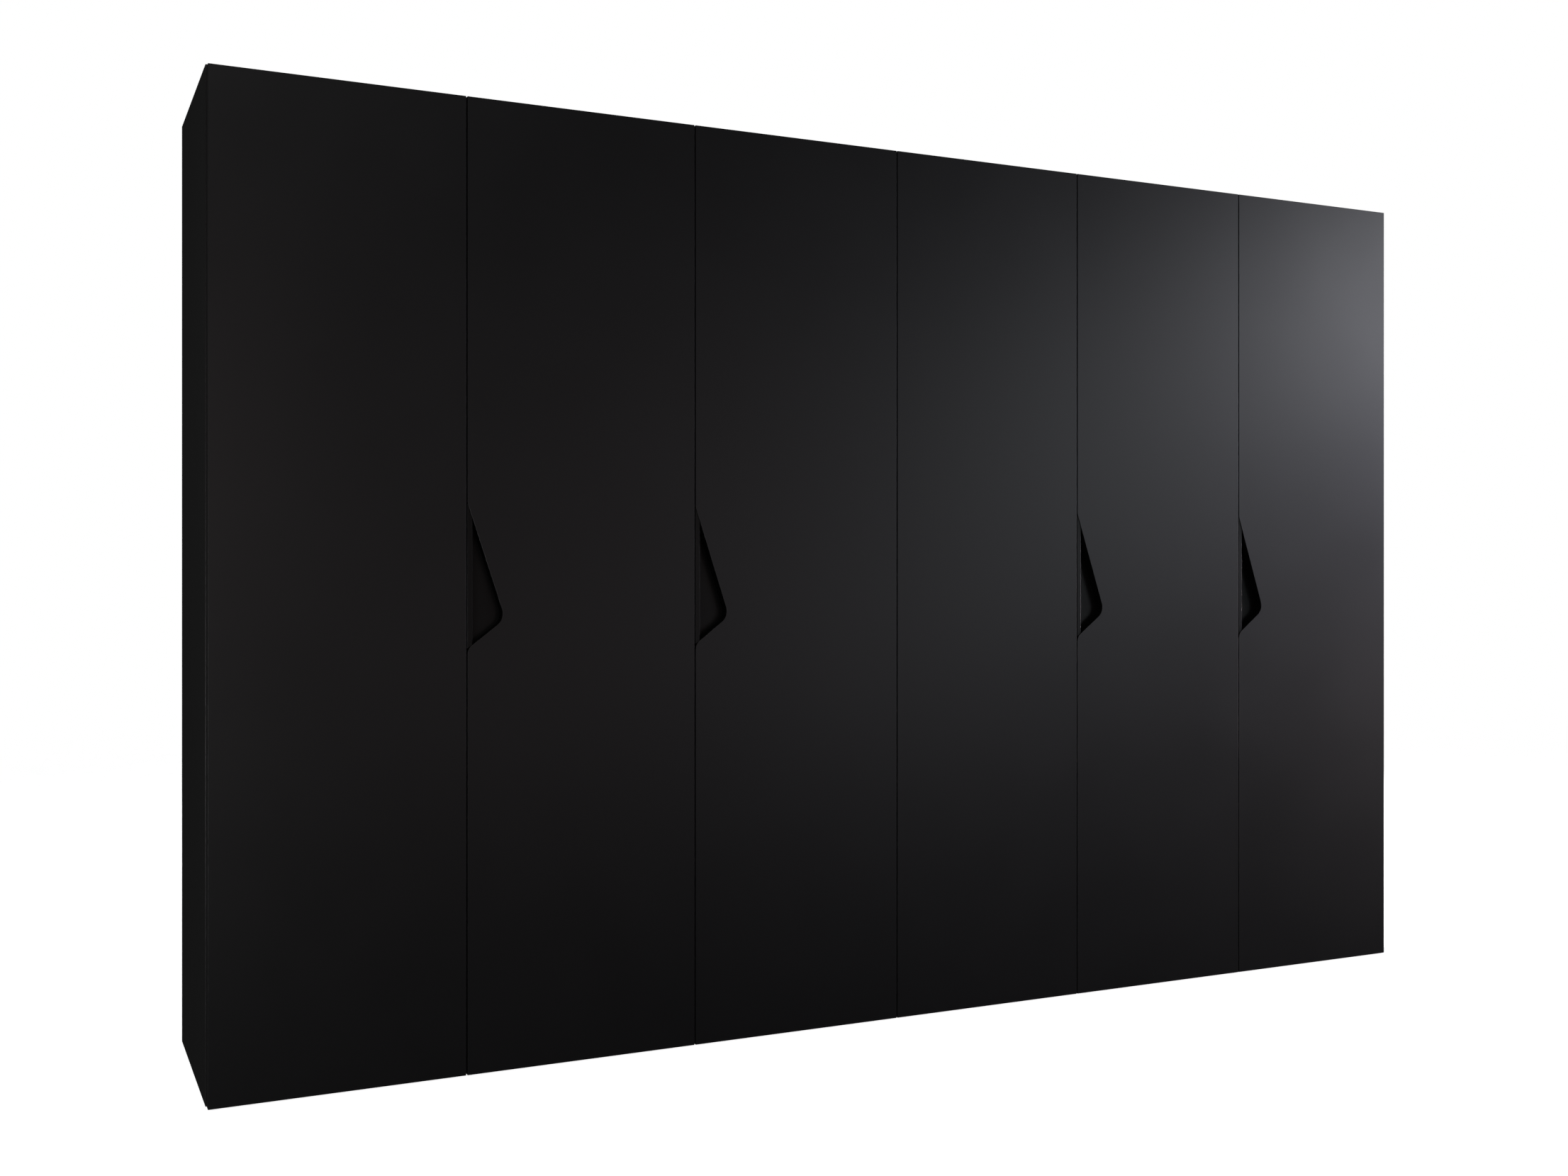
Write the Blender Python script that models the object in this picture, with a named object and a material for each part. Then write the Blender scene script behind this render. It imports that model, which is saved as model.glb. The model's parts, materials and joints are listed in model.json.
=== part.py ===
"""Six-door wardrobe: two 1.5 m carcasses side by side, six full-height doors on concealed hinges.

Metres, +Z up. The origin is on the floor at the middle of the footprint, and the doors face -Y.
"""

import math

import bmesh
import bpy
from mathutils import Matrix

# Driving dimensions.
WIDTH = 3.0
HEIGHT = 2.0
DEPTH = 0.52
DOOR_COUNT = 6
BOARD = 0.018
BACK_THICKNESS = 0.004
FIT = 0.0003

DOOR_THICKNESS = 0.028
DOOR_GAP = 0.003
DOOR_BOTTOM = 0.003
DOOR_TOP = 1.993
DOOR_TO_CARCASS = 0.004

BOTTOM_PANEL_Z = 0.060
PLINTH_SETBACK = 0.012
SHELF_SETBACK = 0.020
BACK_PANEL_Z = (0.030, 1.997)
BACK_PANEL_INSET = 0.002
HAT_SHELF_Z = 1.660
SHELF_Z = (0.440, 0.820, 1.200, 1.580)

RAIL_Z = 1.600
RAIL_WIDTH = 0.015
RAIL_HEIGHT = 0.030
RAIL_WALL = 0.0015
RAIL_END_GAP = 0.002

# The grip: a sail-shaped cut-out at the door's left edge. Each corner is its distance from that edge and
# its height, and the point and the bottom are rounded.
GRIP_TOP = (0.0, 1.167)
GRIP_POINT = (0.078, 0.930)
GRIP_POINT_RADIUS = 0.030
GRIP_BOTTOM = (0.0, 0.870)
GRIP_BOTTOM_RADIUS = 0.022
GRIP_DEPTH = 0.025
GRIP_FLANGE = 0.007
LIP_WIDTH = 0.010
LIP_RECESS = 0.0015
LIP_THICKNESS = 0.003
WEB_THICKNESS = 0.0025

# Hinges. Each door turns about an upright axis just inside its front corner.
PIVOT_INSET = 0.002
HINGE_HEIGHTS = (0.110, 0.700, 1.300, 1.890)
MODELLED_HINGES = {"bottom": HINGE_HEIGHTS[0], "top": HINGE_HEIGHTS[-1]}
BORE_RADIUS = 0.0175
BORE_DEPTH = 0.013
CUP_FROM_EDGE = 0.0225
CUP_RADIUS = 0.0172
CUP_INNER_RADIUS = 0.015
CUP_DEPTH = 0.012
CUP_FLOOR = 0.0015
FLANGE_SIZE = (0.021, 0.0012, 0.062)
ROUND_SEGMENTS = 24

# A hinge arm on its cross-shaped plate. Each range counts inwards from the upright's face (X), rearwards
# from the upright's front edge (Y) or up and down from the hinge's own height (half a height).
PLATE_X = (FIT, 0.0035)
PLATE_Y = (0.022, 0.066)
PLATE_HALF_HEIGHT = 0.010
WING_Y = (0.030, 0.044)
WING_HALF_HEIGHT = 0.024
BAR_X = (0.003, 0.015)
BAR_Y = (0.004, 0.072)
BAR_HALF_HEIGHT = 0.006
# The tip reaches into the cup. It counts from the hinge axis, except for where it ends in the bar.
TIP_X = (0.019, 0.029)
TIP_START_Y = 0.0215
TIP_END_Y = 0.012
TIP_HALF_HEIGHT = 0.005

# Derived places.
DOOR_PITCH = WIDTH / DOOR_COUNT
DOOR_WIDTH = DOOR_PITCH - DOOR_GAP
FRONT = -DEPTH / 2
DOOR_REAR = FRONT + DOOR_THICKNESS
CARCASS_FRONT = DOOR_REAR + DOOR_TO_CARCASS
CARCASS_REAR = DEPTH / 2 - BACK_THICKNESS - FIT
DOUBLE_WIDTH = 2 * DOOR_PITCH

# Which way each door hangs: +1 on its left edge, -1 on its right edge.
DOOR_HANDS = (1, -1, -1, 1, -1, -1)
# Doors 2 and 5 share a partition with their neighbour, so their hinge arms are cranked inwards.
HALF_OVERLAY_DOORS = (2, 5)

LACQUER_BLACK = (0.012, 0.012, 0.013)
MELAMINE_BLACK = (0.014, 0.014, 0.014)
INTERIOR_GREY = (0.27, 0.26, 0.24)
BACK_BROWN = (0.18, 0.12, 0.07)
GRIP_BLACK = (0.020, 0.020, 0.022)
NICKEL = (0.62, 0.60, 0.57)
CHROME = (0.70, 0.70, 0.71)


def clear_scene():
    for found in list(bpy.data.objects):
        bpy.data.objects.remove(found, do_unlink=True)


def new_collection(name, hidden=False):
    made = bpy.data.collections.new(name)
    made.hide_render = hidden
    bpy.context.scene.collection.children.link(made)
    return made


def new_material(name, colour, roughness, metallic=0.0):
    made = bpy.data.materials.new(name)
    made.use_nodes = True
    shader = made.node_tree.nodes["Principled BSDF"]
    shader.inputs["Base Color"].default_value = (*colour, 1.0)
    shader.inputs["Roughness"].default_value = roughness
    shader.inputs["Metallic"].default_value = metallic
    made.diffuse_color = (*colour, 1.0)
    return made


clear_scene()
PARTS = new_collection("wardrobe")
CUTTERS = new_collection("cutters", hidden=True)

DOOR_LACQUER = new_material("door_lacquer", LACQUER_BLACK, 0.38)
CARCASS_BOARD = new_material("carcass_board", MELAMINE_BLACK, 0.45)
INTERIOR_BOARD = new_material("interior_board", INTERIOR_GREY, 0.55)
BACK_BOARD = new_material("back_board", BACK_BROWN, 0.75)
GRIP_PLASTIC = new_material("grip_plastic", GRIP_BLACK, 0.45)
HINGE_STEEL = new_material("hinge_steel", NICKEL, 0.30, 1.0)
RAIL_STEEL = new_material("rail_steel", CHROME, 0.18, 1.0)


def box_mesh(name, low, high):
    """A box between two corners, in the frame of the object that will use it."""
    size = [b - a for a, b in zip(low, high)]
    centre = [(a + b) / 2 for a, b in zip(low, high)]
    stretch = Matrix.Translation(centre) @ Matrix.Diagonal((*size, 1.0))
    shape = bmesh.new()
    bmesh.ops.create_cube(shape, size=1.0, matrix=stretch)
    mesh = bpy.data.meshes.new(name)
    shape.to_mesh(mesh)
    shape.free()
    return mesh


def cylinder_mesh(name, centre, radius, y_low, y_high):
    """A cylinder along Y, with its axis through centre's x and z."""
    lie_down = Matrix.Rotation(math.radians(90), 4, "X")
    place = Matrix.Translation((centre[0], (y_low + y_high) / 2, centre[1])) @ lie_down
    shape = bmesh.new()
    bmesh.ops.create_cone(
        shape,
        cap_ends=True,
        segments=ROUND_SEGMENTS,
        radius1=radius,
        radius2=radius,
        depth=y_high - y_low,
        matrix=place,
    )
    mesh = bpy.data.meshes.new(name)
    shape.to_mesh(mesh)
    shape.free()
    return mesh


def place_part(name, mesh, material, location=(0, 0, 0), parent=None):
    """An object of the wardrobe. Its location counts from its parent where it has one."""
    made = bpy.data.objects.new(name, mesh)
    made.location = location
    made.parent = parent
    if material.name not in mesh.materials:
        mesh.materials.append(material)
    PARTS.objects.link(made)
    return made


def make_cutter(name, mesh):
    made = bpy.data.objects.new(name, mesh)
    made.hide_render = True
    made.display_type = "WIRE"
    CUTTERS.objects.link(made)
    return made


def board(name, low, high, material):
    """A board between two corners in the wardrobe's frame, with its origin at its own middle."""
    centre = [(a + b) / 2 for a, b in zip(low, high)]
    half = [(b - a) / 2 for a, b in zip(low, high)]
    return place_part(name, box_mesh(name, [-h for h in half], half), material, centre)


def carve(name, mesh, cuts=(), joins=()):
    """The mesh with each of joins added to it and each of cuts taken from it, as one new mesh."""
    body = bpy.data.objects.new(name, mesh)
    PARTS.objects.link(body)
    steps = [("UNION", shape) for shape in joins] + [("DIFFERENCE", shape) for shape in cuts]
    for number, (operation, shape) in enumerate(steps):
        modifier = body.modifiers.new(f"{operation.lower()}_{number}", "BOOLEAN")
        modifier.operation = operation
        modifier.solver = "EXACT"
        modifier.object = make_cutter(f"{name}_{operation.lower()}_{number}", shape)
    bpy.context.view_layer.update()
    carved = bpy.data.meshes.new_from_object(body.evaluated_get(bpy.context.evaluated_depsgraph_get()))
    carved.name = name
    bpy.data.objects.remove(body)
    return carved


def corner_arc(before, corner, after, radius, steps=10):
    """Points of the arc that rounds a corner between two straight edges."""
    if radius <= 0:
        return [corner]
    reach = [(math.dist(corner, end), end) for end in (before, after)]
    arms = [((end[0] - corner[0]) / length, (end[1] - corner[1]) / length) for length, end in reach]
    half_angle = math.acos(arms[0][0] * arms[1][0] + arms[0][1] * arms[1][1]) / 2
    tangent = radius / math.tan(half_angle)
    middle = (arms[0][0] + arms[1][0], arms[0][1] + arms[1][1])
    to_centre = radius / math.sin(half_angle) / math.hypot(*middle)
    centre = (corner[0] + middle[0] * to_centre, corner[1] + middle[1] * to_centre)
    ends = [(corner[0] + arm[0] * tangent, corner[1] + arm[1] * tangent) for arm in arms]
    start, stop = (math.atan2(end[1] - centre[1], end[0] - centre[0]) for end in ends)
    turn = math.remainder(stop - start, math.tau)
    angles = [start + turn * step / steps for step in range(steps + 1)]
    circle = [(radius * math.cos(angle), radius * math.sin(angle)) for angle in angles]
    return [(centre[0] + x, centre[1] + z) for x, z in circle]


def rounded(corners):
    """The closed outline through corners given as (x, z, radius)."""
    points = []
    for number, (x, z, radius) in enumerate(corners):
        before = corners[number - 1][:2]
        after = corners[(number + 1) % len(corners)][:2]
        points += corner_arc(before, (x, z), after, radius)
    return points


def stadium(width, height, steps=8):
    """A slot shape, upright: two half circles joined by straight sides."""
    radius = width / 2
    rise = height / 2 - radius
    upper = [math.pi * step / steps for step in range(steps + 1)]
    top = [(radius * math.cos(angle), rise + radius * math.sin(angle)) for angle in upper]
    return top + [(-x, -z) for x, z in top]


def slab_mesh(name, outlines, y_low, y_high):
    """An upright slab from y_low to y_high: closed outlines in X and Z, with inner ones as holes."""
    curve = bpy.data.curves.new(name, "CURVE")
    curve.dimensions = "2D"
    curve.fill_mode = "BOTH"
    curve.extrude = (y_high - y_low) / 2
    for outline in outlines:
        spline = curve.splines.new("POLY")
        spline.points.add(len(outline) - 1)
        spline.use_cyclic_u = True
        for point, (x, z) in zip(spline.points, outline):
            point.co = (x, z, 0, 1)
    drawn = bpy.data.objects.new(name, curve)
    PARTS.objects.link(drawn)
    drawn.location.y = (y_low + y_high) / 2
    drawn.rotation_euler.x = math.radians(90)
    bpy.context.view_layer.update()
    mesh = bpy.data.meshes.new_from_object(drawn.evaluated_get(bpy.context.evaluated_depsgraph_get()))
    mesh.transform(drawn.matrix_world)
    bpy.data.objects.remove(drawn)
    shape = bmesh.new()
    shape.from_mesh(mesh)
    bmesh.ops.remove_doubles(shape, verts=shape.verts, dist=1e-6)
    bmesh.ops.recalc_face_normals(shape, faces=shape.faces)
    shape.to_mesh(mesh)
    shape.free()
    return mesh


def joined_mesh(name, meshes):
    """Several loose shapes as one mesh, for a cutter that cuts in several places."""
    shape = bmesh.new()
    for mesh in meshes:
        shape.from_mesh(mesh)
    made = bpy.data.meshes.new(name)
    shape.to_mesh(made)
    shape.free()
    return made


# The carcasses.


def make_carcass(label, left, right, partition_x, outer_is_left):
    """One carcass of 1.5 m: two sides, a partition, top, bottom, plinth and back."""
    inner_left = left + BOARD + FIT
    inner_right = right - BOARD - FIT
    names = ("side_left", "centre_side_left") if outer_is_left else ("centre_side_right", "side_right")
    board(names[0], (left, CARCASS_FRONT, 0), (left + BOARD, CARCASS_REAR, HEIGHT), CARCASS_BOARD)
    board(names[1], (right - BOARD, CARCASS_FRONT, 0), (right, CARCASS_REAR, HEIGHT), CARCASS_BOARD)
    top_z = HEIGHT - BOARD
    floor_z = BOTTOM_PANEL_Z + BOARD
    board(
        f"top_panel_{label}",
        (inner_left, CARCASS_FRONT, top_z),
        (inner_right, CARCASS_REAR, HEIGHT),
        CARCASS_BOARD,
    )
    board(
        f"bottom_panel_{label}",
        (inner_left, CARCASS_FRONT, BOTTOM_PANEL_Z),
        (inner_right, CARCASS_REAR, floor_z),
        INTERIOR_BOARD,
    )
    board(
        f"partition_{label}",
        (partition_x - BOARD / 2, CARCASS_FRONT, floor_z + FIT),
        (partition_x + BOARD / 2, CARCASS_REAR, top_z - FIT),
        INTERIOR_BOARD,
    )
    plinth_y = CARCASS_FRONT + PLINTH_SETBACK
    board(
        f"plinth_{label}",
        (inner_left, plinth_y, 0),
        (inner_right, plinth_y + BOARD, BOTTOM_PANEL_Z - FIT),
        CARCASS_BOARD,
    )
    board(
        f"back_panel_{label}",
        (left + BACK_PANEL_INSET, DEPTH / 2 - BACK_THICKNESS, BACK_PANEL_Z[0]),
        (right - BACK_PANEL_INSET, DEPTH / 2, BACK_PANEL_Z[1]),
        BACK_BOARD,
    )


def make_shelf(name, left, right, z):
    """A loose shelf between two uprights, set back behind the hinges."""
    low = (left + FIT, CARCASS_FRONT + SHELF_SETBACK, z)
    high = (right - FIT, CARCASS_REAR - FIT, z + BOARD)
    board(name, low, high, INTERIOR_BOARD)


def make_rail(name, left, right):
    """An oval steel tube that hangs across a double compartment, below its hat shelf."""
    outer = stadium(RAIL_WIDTH, RAIL_HEIGHT)
    inner = stadium(RAIL_WIDTH - 2 * RAIL_WALL, RAIL_HEIGHT - 2 * RAIL_WALL)
    half = (right - left) / 2 - RAIL_END_GAP
    mesh = slab_mesh(name, (outer, inner), -half, half)
    rail = place_part(name, mesh, RAIL_STEEL, ((left + right) / 2, 0, RAIL_Z))
    rail.rotation_euler.z = math.radians(90)
    mesh.shade_smooth()
    mesh.set_sharp_from_angle(angle=math.radians(40))


def make_compartment(label, left, right, is_double):
    """What stands between two uprights: a hat shelf and a rail, or four shelves."""
    if is_double:
        make_shelf(f"hat_shelf_{label}", left, right, HAT_SHELF_Z)
        make_rail(f"hanging_rail_{label}", left, right)
        return
    for number, z in enumerate(SHELF_Z, 1):
        make_shelf(f"shelf_{label}_{number}", left, right, z)


# The doors, in a frame whose origin is on the hinge axis at floor level. The front lies at -PIVOT_INSET.


def door_outline(hand, has_grip):
    """The door's outline. A grip bites into the edge away from the hinges."""
    hinge_edge = -hand * PIVOT_INSET
    free_edge = hand * (DOOR_WIDTH - PIVOT_INSET)
    left, right = sorted((hinge_edge, free_edge))
    corners = [(left, DOOR_BOTTOM, 0), (right, DOOR_BOTTOM, 0), (right, DOOR_TOP, 0), (left, DOOR_TOP, 0)]
    if has_grip:
        corners += [
            (left + GRIP_TOP[0], GRIP_TOP[1], 0),
            (left + GRIP_POINT[0], GRIP_POINT[1], GRIP_POINT_RADIUS),
            (left + GRIP_BOTTOM[0], GRIP_BOTTOM[1], GRIP_BOTTOM_RADIUS),
        ]
    return rounded(corners)


def grip_outline(left, margin):
    """The grip's cut-out as a shape of its own, with its two slanted edges moved out by margin."""
    top, point, bottom = GRIP_TOP, GRIP_POINT, GRIP_BOTTOM
    upper = math.atan2(top[1] - point[1], point[0] - top[0])
    lower = math.atan2(point[1] - bottom[1], point[0] - bottom[0])
    raised = top[1] + margin / math.cos(upper)
    lowered = bottom[1] - margin / math.cos(lower)
    reach = (raised - lowered) / (math.tan(upper) + math.tan(lower))
    tip = (reach, lowered + reach * math.tan(lower))
    corners = [
        (left, lowered, 0),
        (left + tip[0], tip[1], GRIP_POINT_RADIUS + margin),
        (left, raised, 0),
    ]
    return rounded(corners)


def bore_cutter(hand):
    """Cylinders for a door's hinge cups, sunk from its rear face."""
    x = hand * (CUP_FROM_EDGE - PIVOT_INSET)
    rear = DOOR_THICKNESS - PIVOT_INSET
    sink = (rear - BORE_DEPTH, rear + BORE_DEPTH)
    return joined_mesh("bores", [cylinder_mesh("bore", (x, z), BORE_RADIUS, *sink) for z in HINGE_HEIGHTS])


def door_mesh(hand, has_grip):
    """A door panel with its hinge bores and, behind the grip's cut-out, a rebate for the grip's flange."""
    front = -PIVOT_INSET
    rear = front + DOOR_THICKNESS
    name = "grip_door" if has_grip else "plain_door"
    panel = slab_mesh(name, [door_outline(hand, has_grip)], front, rear)
    cuts = [bore_cutter(hand)]
    if has_grip:
        left = -(DOOR_WIDTH - PIVOT_INSET)
        flange = grip_outline(left - FIT, GRIP_FLANGE + FIT)
        cuts.append(slab_mesh("rebate", [flange], front + GRIP_DEPTH - FIT, rear + FIT))
    return carve(name, panel, cuts=cuts)


def grip_mesh():
    """A moulded grip: a floor behind the door's cut-out, and a pull lip on a web along the door's edge."""
    left = -(DOOR_WIDTH - PIVOT_INSET)
    front = -PIVOT_INSET
    floor_y = front + GRIP_DEPTH
    lip_y = front + LIP_RECESS
    rear = front + DOOR_THICKNESS
    past = left + 2 * GRIP_POINT[0]
    low = GRIP_BOTTOM[1] - GRIP_POINT[0]
    high = GRIP_TOP[1] + GRIP_POINT[0]
    block = slab_mesh("grip_block", [grip_outline(left, -FIT)], lip_y, floor_y + FIT)
    floor = slab_mesh("grip_floor", [grip_outline(left, GRIP_FLANGE)], floor_y, rear)
    pocket = box_mesh("pocket", (left + LIP_WIDTH, front - FIT, low), (past, floor_y, high))
    web_side = (left + WEB_THICKNESS, lip_y + LIP_THICKNESS, low)
    under_lip = box_mesh("under_lip", web_side, (past, floor_y, high))
    return carve("grip", block, cuts=(pocket, under_lip), joins=(floor,))


def cup_mesh():
    """A hinge cup, open to the rear, with its flange on the door's rear. Its axis is at x = 0, z = 0."""
    rear = DOOR_THICKNESS - PIVOT_INSET
    half_x, thick, half_z = FLANGE_SIZE[0] / 2, FLANGE_SIZE[1], FLANGE_SIZE[2] / 2
    cup = cylinder_mesh("cup", (0, 0), CUP_RADIUS, rear - CUP_DEPTH, rear + FIT + thick)
    flange = box_mesh("flange", (-half_x, rear + FIT, -half_z), (half_x, rear + FIT + thick, half_z))
    floor_y = rear - CUP_DEPTH + CUP_FLOOR
    inside = cylinder_mesh("inside", (0, 0), CUP_INNER_RADIUS, floor_y, rear + CUP_DEPTH)
    return carve("hinge_cup", cup, cuts=(inside,), joins=(flange,))


def arm_mesh(name, side_face):
    """A hinge arm on its plate. side_face is how far the upright's face lies inwards of the hinge axis."""
    edge = CARCASS_FRONT - FRONT - PIVOT_INSET

    def block(part, x_range, y_range, half_height):
        low = (side_face + x_range[0], edge + y_range[0], -half_height)
        high = (side_face + x_range[1], edge + y_range[1], half_height)
        return box_mesh(part, low, high)

    bar = block("bar", BAR_X, BAR_Y, BAR_HALF_HEIGHT)
    plate = block("plate", PLATE_X, PLATE_Y, PLATE_HALF_HEIGHT)
    wings = block("wings", PLATE_X, WING_Y, WING_HALF_HEIGHT)
    tip_low = (TIP_X[0], TIP_START_Y, -TIP_HALF_HEIGHT)
    tip_high = (TIP_X[1], edge + TIP_END_Y, TIP_HALF_HEIGHT)
    return carve(name, bar, joins=(plate, wings, box_mesh("tip", tip_low, tip_high)))


def make_doors():
    """Six doors, each under an empty on its hinge axis, with their grips, cups and arms."""
    panels = {1: door_mesh(1, False), -1: door_mesh(-1, True)}
    grip = grip_mesh()
    cup = cup_mesh()
    arms = {
        False: arm_mesh("arm_full_overlay", BOARD - DOOR_GAP / 2 - PIVOT_INSET + FIT),
        True: arm_mesh("arm_half_overlay", BOARD / 2 - DOOR_GAP / 2 - PIVOT_INSET),
    }
    for number, hand in enumerate(DOOR_HANDS, 1):
        middle = -WIDTH / 2 + (number - 0.5) * DOOR_PITCH
        hinge_x = middle - hand * (DOOR_WIDTH / 2 - PIVOT_INSET)
        axis = bpy.data.objects.new(f"door_{number}_axis", None)
        axis.location = (hinge_x, FRONT + PIVOT_INSET, 0)
        PARTS.objects.link(axis)
        place_part(f"door_{number}", panels[hand], DOOR_LACQUER, parent=axis)
        if hand < 0:
            place_part(f"grip_{number}", grip, GRIP_PLASTIC, parent=axis)
        for level, z in MODELLED_HINGES.items():
            cup_x = hand * (CUP_FROM_EDGE - PIVOT_INSET)
            place_part(f"hinge_cup_{number}_{level}", cup, HINGE_STEEL, (cup_x, 0, z), axis)
            arm = place_part(
                f"hinge_arm_{number}_{level}",
                arms[number in HALF_OVERLAY_DOORS],
                HINGE_STEEL,
                (hinge_x, FRONT + PIVOT_INSET, z),
            )
            if hand < 0:
                arm.rotation_euler.y = math.pi


def make_wardrobe():
    half_fit = FIT / 2
    middle_partition = -WIDTH / 2 + DOUBLE_WIDTH
    make_carcass("left", -WIDTH / 2, -half_fit, middle_partition, True)
    make_carcass("right", half_fit, WIDTH / 2, DOUBLE_WIDTH, False)
    for label, outer, partition_x, inner in (
        ("left", -WIDTH / 2, middle_partition, -half_fit),
        ("right", half_fit, DOUBLE_WIDTH, WIDTH / 2),
    ):
        make_compartment(label, outer + BOARD, partition_x - BOARD / 2, True)
        make_compartment(label, partition_x + BOARD / 2, inner - BOARD, False)
    make_doors()
    for mesh in bpy.data.meshes:
        if mesh.name.startswith("hinge_cup"):
            mesh.shade_smooth()
            mesh.set_sharp_from_angle(angle=math.radians(40))


make_wardrobe()
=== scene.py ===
"""A six-door wardrobe in satin black, dressed over its frame: doors, grips, boards, hinges and fittings.

Metres throughout. +X runs along the front, +Y from the doors to the back panel and +Z up.
"""

import json
import math

import bmesh
import bpy
import numpy as np
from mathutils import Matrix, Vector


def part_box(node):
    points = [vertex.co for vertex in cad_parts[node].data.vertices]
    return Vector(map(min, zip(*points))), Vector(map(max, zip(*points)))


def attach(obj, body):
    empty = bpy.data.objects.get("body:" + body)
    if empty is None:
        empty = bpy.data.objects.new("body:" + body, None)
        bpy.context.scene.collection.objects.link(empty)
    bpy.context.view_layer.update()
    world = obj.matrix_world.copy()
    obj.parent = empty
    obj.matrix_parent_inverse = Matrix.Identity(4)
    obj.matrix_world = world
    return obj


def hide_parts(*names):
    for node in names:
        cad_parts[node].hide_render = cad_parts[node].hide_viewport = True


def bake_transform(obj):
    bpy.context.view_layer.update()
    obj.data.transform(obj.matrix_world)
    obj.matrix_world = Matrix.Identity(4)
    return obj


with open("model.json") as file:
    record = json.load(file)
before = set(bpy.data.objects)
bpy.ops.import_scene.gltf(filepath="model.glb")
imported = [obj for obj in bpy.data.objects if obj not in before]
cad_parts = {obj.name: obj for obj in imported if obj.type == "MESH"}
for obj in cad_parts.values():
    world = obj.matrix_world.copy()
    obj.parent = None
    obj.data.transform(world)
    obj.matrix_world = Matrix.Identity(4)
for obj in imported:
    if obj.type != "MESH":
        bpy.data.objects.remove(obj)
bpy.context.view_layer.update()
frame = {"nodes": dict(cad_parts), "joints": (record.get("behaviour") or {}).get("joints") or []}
joints = {joint["child"]: joint for joint in frame["joints"]}


# Doors. Each is a 28 mm fibreboard panel, its edges eased by a router and sprayed with satin black lacquer,
# except the walls of any cut-out, which carry painted shade: a dead-matt near-black that stands in for the
# shadow in the recess. The rear is bored for four hinge cups. Four of the six have a sail-shaped cut-out at
# their left edge, with a rebate behind it that takes the grip.

DOOR_EDGE = 0.0003
GRIP_TOP = 1.167
GRIP_POINT = (0.078, 0.930, 0.030)
GRIP_BOTTOM = (0.870, 0.022)
GRIP_FLOOR = 0.025
GRIP_FLANGE = 0.0073
HINGE_HEIGHTS = {"bottom": 0.110, "low": 0.700, "high": 1.300, "top": 1.890}
CUP_FROM_EDGE = 0.0225
BORE_RADIUS = 0.0175
BORE_DEPTH = 0.013
GRIP_PLAY = 0.0003
CUT_BEYOND = 0.001


def srgb(code):
    """A hex colour as linear red, green, blue and alpha: the sRGB curve is undone channel by channel."""
    channels = np.array([int(code[place:place + 2], 16) for place in (1, 3, 5)]) / 255
    linear = np.where(channels <= 0.04045, channels / 12.92, ((channels + 0.055) / 1.055) ** 2.4)
    return (*linear.tolist(), 1.0)


def add_node(tree, kind, sockets=None, **settings):
    """Adds one node. Settings are its properties. A socket gets a value, or a link where given an output."""
    node = tree.nodes.new(kind)
    for name, value in settings.items():
        setattr(node, name, value)
    for name, value in (sockets or {}).items():
        if isinstance(value, bpy.types.NodeSocket):
            tree.links.new(value, node.inputs[name])
        else:
            node.inputs[name].default_value = value
    return node


def start_material(name, colour, roughness, **uniform):
    """A Principled material with its uniform values, its tree and shader, and the object's coordinates."""
    made = bpy.data.materials.new(name)
    made.use_nodes = True
    shader = made.node_tree.nodes["Principled BSDF"]
    shader.inputs["Base Color"].default_value = srgb(colour)
    shader.inputs["Roughness"].default_value = roughness
    for socket, value in uniform.items():
        shader.inputs[socket.replace("_", " ")].default_value = value
    place = add_node(made.node_tree, "ShaderNodeTexCoord").outputs["Object"]
    return made, made.node_tree, shader, place


def vary_roughness(made, place, scale, low, high):
    """Roughness that drifts between two values in clouds, with scale clouds to the metre."""
    tree = made.node_tree
    cloud = add_node(tree, "ShaderNodeTexNoise", {"Vector": place, "Scale": scale, "Detail": 3.0})
    limits = {"From Min": 0.3, "From Max": 0.7, "To Min": low, "To Max": high}
    rough = add_node(tree, "ShaderNodeMapRange", {"Value": cloud.outputs["Fac"], **limits})
    tree.links.new(rough.outputs["Result"], tree.nodes["Principled BSDF"].inputs["Roughness"])


def emboss(tree, shader, height, strength, distance):
    """Bump from a pattern, as deep as distance where the pattern goes from 0 to 1."""
    bump = add_node(tree, "ShaderNodeBump", {"Height": height, "Strength": strength, "Distance": distance})
    tree.links.new(bump.outputs["Normal"], shader.inputs["Normal"])


def satin_lacquer():
    """Polyurethane lacquer, IOR 1.5: a soft sheen. Spraying leaves faint orange peel and an uneven matt."""
    made, tree, shader, place = start_material("satin_polyurethane_lacquer", "#0c0c0d", 0.36, IOR=1.5)
    vary_roughness(made, place, 5.0, 0.35, 0.37)
    # Real peel has waves of 1 to 3 mm. These are 7 mm long, so that they show.
    peel = add_node(tree, "ShaderNodeTexNoise", {"Vector": place, "Scale": 140.0, "Detail": 1.0})
    emboss(tree, shader, peel.outputs["Fac"], 0.10, 0.0002)
    return made


def fillet(corners, steps=10):
    """A closed outline with its corners rounded. An arc of the given radius touches both sides of a corner,
    so its centre lies on the corner's bisector at radius over the sine of half the corner's angle."""
    points = []
    for index, (x, z, radius) in enumerate(corners):
        corner = np.array((x, z))
        if radius == 0:
            points.append(corner[None])
            continue
        ends = [np.array(corners[(index + side) % len(corners)][:2]) for side in (-1, 1)]
        arms = [(end - corner) / np.linalg.norm(end - corner) for end in ends]
        half = math.acos(arms[0] @ arms[1]) / 2
        bisector = (arms[0] + arms[1]) / np.linalg.norm(arms[0] + arms[1])
        centre = corner + bisector * radius / math.sin(half)
        touches = [corner + arm * radius / math.tan(half) - centre for arm in arms]
        start, stop = [math.atan2(z, x) for x, z in touches]
        angle = start + math.remainder(stop - start, math.tau) * np.linspace(0, 1, steps + 1)
        points.append(centre + radius * np.stack((np.cos(angle), np.sin(angle)), axis=1))
    return np.concatenate(points)


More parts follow.
